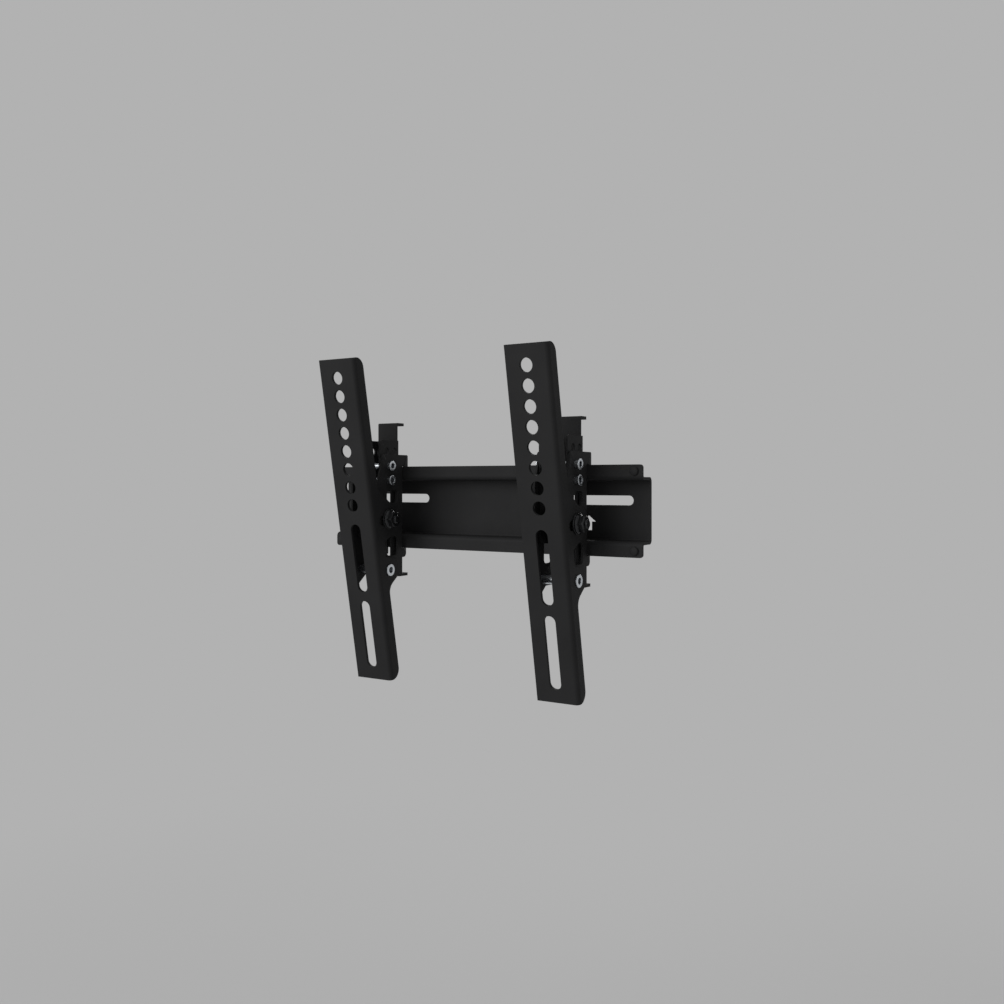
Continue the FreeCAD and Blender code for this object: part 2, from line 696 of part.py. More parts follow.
def build_release_latch(side, centre):
    """The channel that locks behind the lower rim; pushing its tab or pulling its lip frees it."""
    body = new_body(f"{side}_release_latch", centre)
    half = bracket_inner - of.latch_side_gap
    lip_half = bracket_inner - of.slide_clearance
    top, bottom = of.latch_top, -of.latch_bottom
    strip = new_sketch(body, "strip", "XZ_Plane", -latch_rear)
    draw_box(strip, -half, half, bottom, top)
    pad(strip, of.latch_sheet)
    flange = new_sketch(body, "flange", "YZ_Plane", half - of.latch_sheet)
    draw_box(flange, -of.latch_flange_front, latch_rear, -of.latch_flange_bottom, of.latch_flange_top)
    mirrored(pad(flange, of.latch_sheet), "YZ_Plane")

    # Tab and lip go back from the strip's ends, each folded double
    tab = new_sketch(body, "top_tab", "XY_Plane", top - of.latch_grip)
    draw_box(tab, -half, half, latch_front, latch_rear + of.latch_tab_reach)
    pad(tab, of.latch_grip)
    lip = new_sketch(body, "bottom_lip", "XY_Plane", bottom)
    draw_box(lip, -lip_half, lip_half, latch_front, latch_rear + of.latch_lip_reach)
    pad(lip, of.latch_grip)

    # Two tongues stand back from the lower opening's sides and rise behind the lower rim
    opening_half = of.latch_opening_width / 2
    tongue_front = rim_back + of.rail_clearance
    tongue_rear = tongue_front + of.tongue_depth
    tongue_under = -rim_edge - of.tongue_drop
    tongue_bottom = tongue_under - of.tongue_depth
    tongue_top = -rim_edge + of.tongue_hold
    tongue = new_sketch(body, "tongue", "YZ_Plane", opening_half)
    draw_loop(tongue, [(latch_front, tongue_bottom), (tongue_rear, tongue_bottom), (tongue_rear, tongue_top),
                       (tongue_front, tongue_top), (tongue_front, tongue_under), (latch_front, tongue_under)])
    mirrored(pad(tongue, of.latch_sheet), "YZ_Plane")
    spring_tab = new_sketch(body, "spring_tab", "XY_Plane", spring_tab_bottom)
    spring_half = of.spring_tab_width / 2
    draw_box(spring_tab, -spring_half, spring_half, latch_rear - of.spring_tab_reach, latch_rear)
    pad(spring_tab, of.latch_sheet)

    # The openings that the tongues and the spring tab were bent from
    bent_out = new_sketch(body, "bent_out", "XZ_Plane", -latch_front)
    draw_box(bent_out, -opening_half, opening_half, -of.latch_opening_bottom, -of.latch_opening_top)
    above = spring_tab_bottom + of.latch_sheet
    draw_box(bent_out, -spring_half, spring_half, above, above + of.spring_tab_reach - of.latch_sheet)
    cut(bent_out, 4 * of.latch_sheet)

    ends = ((half, latch_rear + of.latch_tab_reach), (lip_half, latch_rear + of.latch_lip_reach))
    corners = [(hand * across, rear) for across, rear in ends for hand in (-1, 1)]
    fillet(body, "end_corners", 2, corners, of.latch_corner)
    folds = [(latch_front, top), (latch_front, bottom), (tongue_rear, tongue_bottom)]
    fillet(body, "folds", 0, folds, of.bend_radius)
    return body


def build_latch_spring(side, centre):
    """The coil spring between the guide's seat and the latch's tab, its wire drawn as a hexagon."""
    body = new_body(f"{side}_latch_spring", centre, -of.spring_standoff, spring_seat_top)
    wire = new_sketch(body, "wire", "XZ_Plane")
    lowest = of.spring_wire / 2 + of.face_clearance
    draw_hexagon(wire, of.spring_wire, (of.spring_diameter / 2, lowest))
    coil = body.newObject("PartDesign::AdditiveHelix", f"{body.Name}_coil")
    coil.Profile = wire
    coil.ReferenceAxis = (wire, ["V_Axis"])
    coil.Mode = "height-turns-angle"
    bind(coil, "Height", of.spring_length - 2 * lowest)
    bind(coil, "Turns", of.spring_turns)
    return body


def build_turned(label, centre, standoff, rise, outline, socket=None):
    """A turned piece on an axis along X, with a hexagon socket sunk in its outer end if it has one."""
    body = new_body(label, centre, standoff, rise)
    profile = new_sketch(body, "profile", "XY_Plane")
    draw_loop(profile, outline)
    turn(profile)
    if socket is not None:
        flats, mouth, depth = socket
        recess = new_sketch(body, "socket", "YZ_Plane", mouth)
        draw_hexagon(recess, flats)
        cut(recess, 2 * depth)
    return body


def ring_outline(start, end, inside, outside):
    return [(start, inside / 2), (end, inside / 2), (end, outside / 2), (start, outside / 2)]


def build_nut(label, centre, standoff, rise, start, height, flats, bore):
    """A plain hexagon nut on an axis along X."""
    body = new_body(label, centre, standoff, rise)
    hexagon = new_sketch(body, "hexagon", "YZ_Plane", start)
    draw_hexagon(hexagon, flats)
    draw_circle(hexagon, (0, 0), bore)
    pad(hexagon, height)
    return body


def screw_outline(far_end, seat, shank, head, head_height, shoulder=0, shoulder_height=0):
    """Half the section of a screw with its head towards +X, on a shoulder if it has one."""
    chamfer = shank / 10
    head_seat = seat + shoulder_height
    head_end = head_seat + head_height
    neck = [(head_seat, shoulder / 2), (seat, shoulder / 2)] if shoulder else []
    return [(far_end, 0), (head_end, 0), (head_end, head / 2 - chamfer), (head_end - chamfer, head / 2),
            (head_seat, head / 2), *neck, (seat, shank / 2), (far_end + chamfer, shank / 2),
            (far_end, shank / 2 - chamfer)]


def build_cross_bolts(side, centre):
    """Two shoulder screws that tie bracket and guide together, with their nuts."""
    nut_start = -bracket_outer - of.cross_nut_height
    shank = of.cross_bolt_diameter
    made = []
    for level, rise in cross_bolt_rises.items():
        outline = screw_outline(nut_start - of.thread_proud, bracket_outer, shank, of.cross_head_diameter,
                                of.cross_head_height, of.cross_shoulder_diameter, of.cross_shoulder_height)
        face = bracket_outer + of.cross_shoulder_height + of.cross_head_height
        socket = (of.cross_socket, face, of.cross_socket_depth)
        made.append(build_turned(f"{side}_{level}_cross_bolt", centre, cross_bolt_y, rise, outline, socket))
        made.append(build_nut(f"{side}_{level}_cross_nut", centre, cross_bolt_y, rise, nut_start,
                              of.cross_nut_height, of.cross_nut_flats, shank + 2 * of.nest_clearance))
    return made


def build_pivot(side, centre):
    """The screw that the arm turns on, its nut, and the washer between arm and bracket."""
    seat = arm_outer + of.face_clearance
    nut_start = -bracket_outer - of.pivot_nut_height
    shank = of.pivot_bolt_diameter
    outline = screw_outline(nut_start - of.thread_proud, seat, shank,
                            of.pivot_head_diameter, of.pivot_head_height)
    socket = (of.pivot_socket, seat + of.pivot_head_height, of.pivot_socket_depth)
    bore = shank + 2 * of.nest_clearance
    place = (centre, pivot_y, pivot_z)
    washer = ring_outline(bracket_outer, spacer_end, bore, of.pivot_washer_diameter)
    return [build_turned(f"{side}_pivot_bolt", *place, outline, socket),
            build_turned(f"{side}_pivot_washer", *place, washer),
            build_nut(f"{side}_pivot_nut", *place, nut_start, of.pivot_nut_height, of.pivot_nut_flats, bore)]


def build_tilt_lock(side, centre):
    """The bolt through the arm's arc slot, with its disc, washer and flange nut."""
    place = (centre, tilt_bolt_y, tilt_bolt_z)
    shank = of.tilt_bolt_diameter
    bore = shank + 2 * of.nest_clearance
    chamfer = shank / 10
    tip = arm_outer + of.tilt_bolt_proud
    bolt = new_body(f"{side}_tilt_bolt", *place)
    head = new_sketch(bolt, "head", "YZ_Plane", -bracket_outer - of.tilt_head_height)
    draw_hexagon(head, of.tilt_head_flats)
    pad(head, of.tilt_head_height)
    root = -bracket_outer - of.tilt_head_height / 2
    stem = new_sketch(bolt, "stem", "XY_Plane")
    draw_loop(stem, [(root, 0), (tip, 0), (tip, shank / 2 - chamfer),
                     (tip - chamfer, shank / 2), (root, shank / 2)])
    turn(stem)

    washer_start = arm_outer + of.face_clearance
    washer_end = washer_start + of.tilt_washer_thickness
    washer = ring_outline(washer_start, washer_end, bore, of.tilt_washer_diameter)

    nut = new_body(f"{side}_tilt_nut", *place)
    flange = new_sketch(nut, "flange", "YZ_Plane", washer_end)
    draw_circle(flange, (0, 0), of.tilt_flange_diameter)
    draw_circle(flange, (0, 0), bore)
    pad(flange, of.tilt_flange_thickness)
    hexagon = new_sketch(nut, "hexagon", "YZ_Plane", washer_end + of.tilt_flange_thickness)
    draw_hexagon(hexagon, of.tilt_nut_flats)
    draw_circle(hexagon, (0, 0), bore)
    pad(hexagon, of.tilt_nut_height - of.tilt_flange_thickness)
    disc = ring_outline(bracket_outer, spacer_end, bore, of.tilt_disc_diameter)
    return [bolt, nut,
            build_turned(f"{side}_tilt_disc", *place, disc),
            build_turned(f"{side}_tilt_washer", *place, washer)]


pieces = [build_wall_plate()]
for side, sign in (("left", -1), ("right", 1)):
    centre = sign * of.arm_spacing / 2
    pieces.append(build_arm(side, centre))
    pieces.append(build_hook_bracket(side, centre))
    pieces.append(build_guide_channel(side, centre))
    pieces.append(build_release_latch(side, centre))
    pieces.append(build_latch_spring(side, centre))
    pieces.extend(build_cross_bolts(side, centre))
    pieces.extend(build_pivot(side, centre))
    pieces.extend(build_tilt_lock(side, centre))
DOC.recompute()

# Nothing is written unless every feature is up to date and every piece is one valid solid
failed = [item.Name for item in DOC.Objects if "Invalid" in item.State or "Error" in item.State]
if failed:
    raise RuntimeError(f"these features failed: {failed}")
for piece in pieces:
    if piece.Shape.isNull() or not piece.Shape.isValid() or len(piece.Shape.Solids) != 1:
        raise RuntimeError(f"{piece.Label} is not one valid solid")

os.makedirs("parts", exist_ok=True)
for piece in pieces:
    piece.Shape.exportStep(f"parts/{piece.Label}.step")
print(f"wrote {len(pieces)} pieces")
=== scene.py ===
import json
import math

import bmesh
import bpy
from mathutils import Matrix, Vector

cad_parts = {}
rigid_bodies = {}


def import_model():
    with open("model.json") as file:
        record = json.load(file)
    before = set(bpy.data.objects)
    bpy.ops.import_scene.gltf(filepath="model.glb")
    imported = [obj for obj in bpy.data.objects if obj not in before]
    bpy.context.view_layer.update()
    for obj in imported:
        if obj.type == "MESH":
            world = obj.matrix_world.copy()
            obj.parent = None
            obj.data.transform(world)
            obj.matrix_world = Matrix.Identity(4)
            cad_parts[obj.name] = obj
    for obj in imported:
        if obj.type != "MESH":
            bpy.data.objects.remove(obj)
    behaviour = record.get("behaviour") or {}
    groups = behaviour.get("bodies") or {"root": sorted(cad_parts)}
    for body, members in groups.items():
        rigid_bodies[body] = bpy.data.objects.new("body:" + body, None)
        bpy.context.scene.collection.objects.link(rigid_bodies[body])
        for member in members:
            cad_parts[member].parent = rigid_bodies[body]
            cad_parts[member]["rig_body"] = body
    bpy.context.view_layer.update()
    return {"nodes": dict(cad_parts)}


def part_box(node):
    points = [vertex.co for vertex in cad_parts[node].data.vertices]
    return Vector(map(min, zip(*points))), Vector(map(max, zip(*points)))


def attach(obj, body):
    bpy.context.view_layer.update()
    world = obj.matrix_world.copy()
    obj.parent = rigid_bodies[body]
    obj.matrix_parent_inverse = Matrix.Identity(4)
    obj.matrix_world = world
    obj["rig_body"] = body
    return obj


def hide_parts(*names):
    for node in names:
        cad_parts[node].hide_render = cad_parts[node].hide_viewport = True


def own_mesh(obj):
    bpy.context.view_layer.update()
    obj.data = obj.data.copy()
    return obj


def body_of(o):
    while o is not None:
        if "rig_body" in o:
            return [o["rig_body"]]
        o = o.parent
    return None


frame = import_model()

# Sizes in metres. Fasteners are drawn along X with the underside of the head at zero.
MM = 0.001
SIDES = ("left", "right")
ROUND_STEPS = 48
HEX_STEPS = 6
MERGE_REACH = 0.001 * MM
OVERSHOOT = 1 * MM
SHARP_ANGLE = math.radians(32)

CROSS_THREAD = 4 * MM
CROSS_PITCH = 0.7 * MM
CROSS_PLAIN = 16 * MM
CROSS_HEAD = 7 * MM
CROSS_HEAD_HEIGHT = 0.9 * MM
CROSS_SHOULDER = 4.8 * MM
CROSS_SHOULDER_HEIGHT = 2.7 * MM
CROSS_SOCKET = 3.7 * MM
CROSS_SOCKET_DEPTH = 2.8 * MM
CROSS_NUT_FLATS = 7 * MM

PIVOT_THREAD = 6 * MM
PIVOT_PLAIN = 26 * MM
PIVOT_HEAD = 8.4 * MM
PIVOT_HEAD_HEIGHT = 1.1 * MM
PIVOT_SOCKET = 4 * MM
PIVOT_SOCKET_DEPTH = 3 * MM
PIVOT_NUT_FLATS = 10 * MM

TILT_THREAD = 6 * MM
TILT_PLAIN = 20 * MM
TILT_HEAD_FLATS = 10 * MM
TILT_HEAD_HEIGHT = 4 * MM
TILT_HEAD_OVERLAP = 0.1 * MM
TILT_FLANGE_HEIGHT = 1.4 * MM
TILT_FLANGE_RIM = 0.7 * MM
TILT_FLANGE_EDGE = 0.3 * MM
TILT_FLANGE_ROOT = 0.5 * MM
COARSE_PITCH = 1 * MM

# A thread's depth and flats, and the neck's depth, are shares of the pitch
THREAD_DEPTH = 0.61
THREAD_ROOT_END = 1 / 4
THREAD_CREST_START = 9 / 16
THREAD_CREST_END = 11 / 16
NECK_DEPTH = 0.6
NECK_LENGTH = 0.5 * MM

# A chamfer leaves this share of a hexagon's flats as its round face
CHAMFER_FACE = 0.96
CHAMFER_ANGLE = math.radians(30)
CORNER_SPARE = 0.1 * MM
NUT_SINK = 0.5 * MM
SOCKET_SINK = 0.25 * MM
HEAD_EDGE = 0.2 * MM
WASHER_CLEARANCE = 0.4 * MM
WASHER_EDGE = 0.15 * MM

SPRING_WIRE = 0.9 * MM
SPRING_DIAMETER = 7 * MM
SPRING_CLOSED_TURNS = 1
SPRING_OPEN_TURNS = 4
SPRING_STEPS = 28
SPRING_WIRE_STEPS = 12

LUG_CORE = 5.2 * MM
LUG_FOOT = 5.75 * MM
LUG_CROWN = 1.9 * MM
LUG_SHOULDER = 1 * MM
LUG_ARC_START = math.radians(12.8)
LUG_ARC_STEPS = 5
LUG_OUT = 119.5 * MM
LUG_UP = 25.3 * MM
RAIL_FRONT = -15 * MM

WINDOW_FRONT = -32.4 * MM
WINDOW_REAR = -21.2 * MM
WINDOW_LOW = -34.3 * MM
WINDOW_HIGH = -18 * MM
WINDOW_CORNER = 2.5 * MM
WINDOW_CORNER_STEPS = 6
FLANGE_REACH = 2 * MM

STRIP_INNER = 2.1 * MM
STRIP_OUTER = 6 * MM
STRIP_FRONT = -17.7 * MM
STRIP_REAR = -16.9 * MM
STRIP_LOW = -40.4 * MM
STRIP_HIGH = -21.1 * MM
STRIP_EDGE = 0.2 * MM
STRIP_EDGE_STEPS = 2

# The finishes use the middle of their patterns. A wave pattern's phase grows by the given angle per unit.
PATTERN_LOW = 0.3
PATTERN_HIGH = 0.7
WAVE_PHASE = 20
EDGE_SAMPLES = 6
RECESS_SAMPLES = 8
# Painted shade: the near-black colour given to narrow recesses
PAINTED_SHADE_BLACK = (0.003, 0.003, 0.004, 1)

BACKGROUND = (0.445, 0.445, 0.445, 1)
ROOM_LIGHT = (0.3, 0.3, 0.3, 1)
FLOOR_COLOUR = (0.6, 0.6, 0.6, 1)
FLOOR_ROUGHNESS = 0.9
FLOOR_DROP = 0.6
FLOOR_FADE_END = 2.5 * FLOOR_DROP
FLOOR_RADIUS = 30
FLOOR_STEPS = 64

# Each softbox's place, size and watts
SOFTBOXES = {
    "key_softbox": ((-1.2, -3.1, 1.1), 2.6, 70),
    "top_softbox": ((0.3, -0.3, 1.7), 0.6, 3),
    "back_softbox": ((-0.5, 1.6, 0.8), 1.2, 10),
}

# The lens and its sensor are in millimetres, and the shift is a share of the picture's width
CAMERA_PLACE = (0.3723, -0.5884, 0.0190)
CAMERA_TURN = math.radians(31.41)
CAMERA_SENSOR = 36
CAMERA_LENS = 35.32
CAMERA_SHIFT_X = -0.0005
CAMERA_SHIFT_Y = -0.0209


# Nodes of materials and of the world
def feed(tree, node, inputs):
    """Gives a node's inputs these values, or links them to these outputs of other nodes."""
    for name, value in inputs.items():
        if isinstance(value, bpy.types.NodeSocket):
            tree.links.new(value, node.inputs[name])
        else:
            node.inputs[name].default_value = value


def add_node(tree, kind, inputs, **settings):
    """A new node with these settings, fed with these inputs."""
    node = tree.nodes.new(kind)
    for name, value in settings.items():
        setattr(node, name, value)
    feed(tree, node, inputs)
    return node


def own_place(tree):
    """The piece's own coordinates."""
    return add_node(tree, "ShaderNodeTexCoord", {}).outputs["Object"]


def speckle(tree, size, detail=3):
    """A cloudy pattern whose spots are about this size."""
    noise = add_node(tree, "ShaderNodeTexNoise",
                     {"Vector": own_place(tree), "Scale": 1 / size, "Detail": detail})
    return noise.outputs["Fac"]


def turned_lines(tree, spacing):
    """Fine rings about X at this spacing, as a lathe tool leaves them."""
    scale = math.tau / (WAVE_PHASE * spacing)
    wave = add_node(tree, "ShaderNodeTexWave",
                    {"Vector": own_place(tree), "Scale": scale, "Distortion": 1.5, "Detail": 2},
                    bands_direction="X")
    return wave.outputs["Fac"]


def ranged(tree, pattern, low, high):
    """The pattern's middle part spread over low to high."""
    spread = add_node(tree, "ShaderNodeMapRange",
                      {"Value": pattern, "From Min": PATTERN_LOW, "From Max": PATTERN_HIGH,
                       "To Min": low, "To Max": high})
    return spread.outputs["Result"]


def shaded(tree, pattern, dark, light):
    """The pattern as a colour between two."""
    ramp = add_node(tree, "ShaderNodeValToRGB", {"Fac": pattern})
    ends = zip(ramp.color_ramp.elements, (PATTERN_LOW, PATTERN_HIGH), (dark, light))
    for end, position, colour in ends:
        end.position = position
        end.color = (*colour, 1)
    return ramp.outputs["Color"]


def softened_edges(tree, radius):
    """Normals that round every edge by this radius."""
    return add_node(tree, "ShaderNodeBevel", {"Radius": radius}, samples=EDGE_SAMPLES).outputs["Normal"]


def raised(tree, pattern, height, strength, normal):
    """The pattern as bumps of this height on the given normals."""
    bump = add_node(tree, "ShaderNodeBump",
                    {"Height": pattern, "Distance": height, "Strength": strength, "Normal": normal})
    return bump.outputs["Normal"]


def painted_recess_shade(tree, colour, reach):
    """The colour, painted nearly black as shade in recesses that are narrower than this reach."""
    open_sky = add_node(tree, "ShaderNodeAmbientOcclusion", {"Distance": reach},
                        samples=RECESS_SAMPLES, only_local=True)
    openness = ranged(tree, open_sky.outputs["AO"], low=0, high=1)
    blend = add_node(tree, "ShaderNodeMix", {"Factor": openness, "A": PAINTED_SHADE_BLACK, "B": colour},
                     data_type="RGBA")
    return blend.outputs["Result"]


# Finishes
def new_finish(name):
    """A material, its nodes' tree and its shader."""
    material = bpy.data.materials.new(name)
    material.use_nodes = True
    return material, material.node_tree, material.node_tree.nodes["Principled BSDF"]


def make_powder_coat():
    """Black powder coat with a fine sand grain on a faint orange peel."""
    material, tree, shader = new_finish("black_powder_coat")
    cloud = speckle(tree, 30 * MM)
    grain = speckle(tree, 0.45 * MM, detail=2)
    peel = speckle(tree, 2.5 * MM, detail=1)
    rounded = softened_edges(tree, 0.35 * MM)
    waved = raised(tree, peel, height=0.02 * MM, strength=0.3, normal=rounded)
    feed(tree, shader, {
        "Base Color": shaded(tree, cloud, dark=(0.0165, 0.0165, 0.017), light=(0.0205, 0.0205, 0.021)),
        "Roughness": ranged(tree, grain, low=0.58, high=0.72),
        "Specular IOR Level": 0.15,
        "Normal": raised(tree, grain, height=0.03 * MM, strength=0.5, normal=waved),
    })
    return material


def make_zinc_plate():
    """Bright zinc with a cool tint, clouded and finely turned, with painted shade in its narrow recesses."""
    material, tree, shader = new_finish("bright_zinc")
    cloud = speckle(tree, 1.8 * MM)
    lines = turned_lines(tree, 0.754 * MM)
    plated = shaded(tree, cloud, dark=(0.64, 0.68, 0.72), light=(0.78, 0.81, 0.84))
    rounded = softened_edges(tree, 0.2 * MM)
    feed(tree, shader, {
        # Painted shade: the zinc is coloured nearly black in recesses such as the sockets
        "Base Color": painted_recess_shade(tree, plated, reach=3 * MM),
        "Roughness": ranged(tree, cloud, low=0.24, high=0.4),
        "Metallic": 1,
        "Normal": raised(tree, lines, height=0.006 * MM, strength=0.4, normal=rounded),
    })
    return material


def make_black_steel():
    """Steel blackened in a bath: dark, oily, and worn a little lighter in clouds."""
    material, tree, shader = new_finish("blackened_steel")
    cloud = speckle(tree, 2.2 * MM)
    lines = turned_lines(tree, 0.942 * MM)
    rounded = softened_edges(tree, 0.25 * MM)
    feed(tree, shader, {
        "Base Color": shaded(tree, cloud, dark=(0.032, 0.033, 0.035), light=(0.052, 0.053, 0.055)),
        "Roughness": ranged(tree, cloud, low=0.24, high=0.36),
        "Metallic": 0.85,
        "Normal": raised(tree, lines, height=0.006 * MM, strength=0.4, normal=rounded),
    })
    return material


def make_spring_steel():
    """Drawn wire with a dull grey shine."""
    material, tree, shader = new_finish("drawn_spring_wire")
    cloud = speckle(tree, 0.7 * MM)
    rounded = softened_edges(tree, 0.1 * MM)
    feed(tree, shader, {
        "Base Color": shaded(tree, cloud, dark=(0.30, 0.30, 0.31), light=(0.44, 0.44, 0.45)),
        "Roughness": ranged(tree, cloud, low=0.26, high=0.42),
        "Metallic": 1,
        "Normal": raised(tree, cloud, height=0.01 * MM, strength=0.4, normal=rounded),
    })
    return material


def make_friction_disc():
    """A matte black fibre disc with pale flecks."""
    material, tree, shader = new_finish("fibre_disc")
    fleck = speckle(tree, 0.35 * MM, detail=4)
    rounded = softened_edges(tree, 0.2 * MM)
    feed(tree, shader, {
        "Base Color": shaded(tree, fleck, dark=(0.012, 0.012, 0.012), light=(0.035, 0.034, 0.032)),
        "Roughness": ranged(tree, fleck, low=0.75, high=0.92),
        "Normal": raised(tree, fleck, height=0.03 * MM, strength=0.6, normal=rounded),
    })
    return material


finishes = {
    "powder_coat": make_powder_coat(),
    "zinc_plate": make_zinc_plate(),
    "black_steel": make_black_steel(),
    "spring_steel": make_spring_steel(),
    "friction_disc": make_friction_disc(),
}
for node in frame["nodes"].values():
    for slot in node.material_slots:
        slot.material = finishes[slot.material.name]


# Shapes that the pieces are made from
def turned(outline, closed=False):
    """A solid turned about the X axis from points of distance along it and radius."""
    solid = bmesh.new()
    points = [solid.verts.new((along, radius, 0)) for along, radius in outline]
    edges = [solid.edges.new(pair) for pair in zip(points, points[1:])]
    if closed:
        edges.append(solid.edges.new((points[-1], points[0])))
    bmesh.ops.spin(solid, geom=points + edges, cent=(0, 0, 0), axis=(1, 0, 0),
                   angle=math.tau, steps=ROUND_STEPS, use_merge=True)
    bmesh.ops.remove_doubles(solid, verts=solid.verts, dist=MERGE_REACH)
    bmesh.ops.recalc_face_normals(solid, faces=solid.faces)
    return solid


def ring(height, bore, outer, edge):
    """A turned ring from zero up with its four edges broken."""
    inside, outside = bore / 2, outer / 2
    outline = [(0, inside + edge), (0, outside - edge), (edge, outside), (height - edge, outside),
               (height, outside - edge), (height, inside + edge), (height - edge, inside), (edge, inside)]
    return turned(outline, closed=True)


def block(low, high):
    """A box between two corners."""
    box = bmesh.new()
    middle = [(near + far) / 2 for near, far in zip(low, high)]
    spread = [far - near for near, far in zip(low, high)]
    stand = Matrix.Translation(middle) @ Matrix.Diagonal((*spread, 1))
    bmesh.ops.create_cube(box, size=1, matrix=stand)
    return box


def rounded_off(solid, edges, radius, steps):
    """The solid with these edges rounded."""
    bmesh.ops.bevel(solid, geom=edges, offset=radius, offset_type="OFFSET", affect="EDGES",
                    segments=steps, profile=0.5, material=-1)
    return solid


def hexagon(start, end, flats):
    """A six-sided bar along X with two flats across Z."""
    bar = bmesh.new()
    lie_along_x = Matrix.Translation(((start + end) / 2, 0, 0)) @ Matrix.Rotation(math.pi / 2, 4, "Y")
    corner = flats / math.sqrt(3)
    bmesh.ops.create_cone(bar, cap_ends=True, segments=HEX_STEPS, radius1=corner, radius2=corner,
                          depth=end - start, matrix=lie_along_x @ Matrix.Rotation(math.pi / 2, 4, "Z"))
    return bar


def threaded(start, end, diameter, pitch):
    """A threaded rod along X, swept by a rising spin, trimmed at both ends and pointed at the low one."""
    rod = bmesh.new()
    crest = diameter / 2
    root = crest - THREAD_DEPTH * pitch
    # A spare turn at each end is trimmed away below
    profile = []
    for turn in range(math.ceil((end - start) / pitch) + 2):
        along = start + (turn - 1) * pitch
        profile += [(along, root), (along + THREAD_ROOT_END * pitch, root),
                    (along + THREAD_CREST_START * pitch, crest), (along + THREAD_CREST_END * pitch, crest)]
    points = [rod.verts.new((along, radius, 0)) for along, radius in profile]
    edges = [rod.edges.new(pair) for pair in zip(points, points[1:])]
    bmesh.ops.spin(rod, geom=points + edges, cent=(0, 0, 0), axis=(1, 0, 0),
                   dvec=(pitch / ROUND_STEPS, 0, 0), angle=math.tau, steps=ROUND_STEPS)
    bmesh.ops.remove_doubles(rod, verts=rod.verts, dist=MERGE_REACH)
    for vert in rod.verts:
        reach = math.hypot(vert.co.y, vert.co.z)
        limit = root + max(0, vert.co.x - start)
        if reach > limit:
            vert.co.yz = [across * limit / reach for across in vert.co.yz]
    for plane, outward in ((start, -1), (end, 1)):
        bmesh.ops.bisect_plane(rod, geom=rod.verts[:] + rod.edges[:] + rod.faces[:],
                               plane_co=(plane, 0, 0), plane_no=(outward, 0, 0), clear_outer=True)
    bmesh.ops.holes_fill(rod, edges=[edge for edge in rod.edges if edge.is_boundary])
    bmesh.ops.recalc_face_normals(rod, faces=rod.faces)
    return rod


def as_mesh(solid, name):
    """The solid as a mesh, which takes its place."""
    mesh = bpy.data.meshes.new(name)
    solid.to_mesh(mesh)
    solid.free()
    return mesh


def combined(operation, solid, tool):
    """The solid less the tool, or only what both share."""
    blank = bpy.data.objects.new("blank", as_mesh(solid, "blank"))
    cutter = bpy.data.objects.new("cutter", as_mesh(tool, "cutter"))
    for shape in (blank, cutter):
        bpy.context.collection.objects.link(shape)
    step = blank.modifiers.new("combine", "BOOLEAN")
    step.operation = operation
    step.object = cutter
    result = bmesh.new()
    result.from_object(blank, bpy.context.evaluated_depsgraph_get())
    for shape in (blank, cutter):
        bpy.data.objects.remove(shape)
    return result


def joined(*solids):
    """Several solids as one."""
    whole = bmesh.new()
    for solid in solids:
        whole.from_mesh(as_mesh(solid, "part_of_whole"))
    return whole


# Fasteners and springs
def chamfered_hexagon(height, flats, both_ends=True):
    """A hexagon from zero up whose corners are turned off at its high end, or at both."""
    corner = flats / math.sqrt(3) + CORNER_SPARE
    face = flats / 2 * CHAMFER_FACE
    drop = (corner - face) * math.tan(CHAMFER_ANGLE)
    low_end = [(0, 0), (0, face), (drop, corner)] if both_ends else [(0, 0), (0, corner)]
    barrel = turned([*low_end, (height - drop, corner), (height, face), (height, 0)])
    return combined("INTERSECT", hexagon(0, height, flats), barrel)


def nut(height, flats, thread):
    """A nut from zero up, with its bore countersunk at both faces."""
    radius = thread / 2
    mouth = radius + NUT_SINK + OVERSHOOT
    bore = turned([(-OVERSHOOT, 0), (-OVERSHOOT, mouth), (NUT_SINK, radius), (height - NUT_SINK, radius),
                   (height + OVERSHOOT, mouth), (height + OVERSHOOT, 0)])
    return combined("DIFFERENCE", chamfered_hexagon(height, flats), bore)


def flange_nut(height, flats, flange, thread):
    """A nut on a flange with a sloping rim, turned with a corner to the front."""
    rim, side, radius = flange / 2, flats / 2, thread / 2
    top = TILT_FLANGE_HEIGHT + TILT_FLANGE_EDGE
    collar = turned([(0, 0), (0, rim - TILT_FLANGE_EDGE), (TILT_FLANGE_EDGE, rim), (TILT_FLANGE_RIM, rim),
                     (TILT_FLANGE_HEIGHT, side + TILT_FLANGE_ROOT), (top, side), (top, 0)])
    hollow = turned([(-OVERSHOOT, 0), (-OVERSHOOT, radius),
                     (height + OVERSHOOT, radius), (height + OVERSHOOT, 0)])
    body = nut(height, flats, thread)
    half_side = Matrix.Rotation(math.pi / HEX_STEPS, 3, "X")
    bmesh.ops.rotate(body, cent=(0, 0, 0), matrix=half_side, verts=body.verts)
    return joined(combined("DIFFERENCE", collar, hollow), body)


def plain_head(start, height, diameter):
    """The outline of a flat turned head from its start up."""
    radius, end = diameter / 2, start + height
    return [(start, radius - HEAD_EDGE), (start + HEAD_EDGE, radius),
            (end - HEAD_EDGE, radius), (end, radius - HEAD_EDGE)]


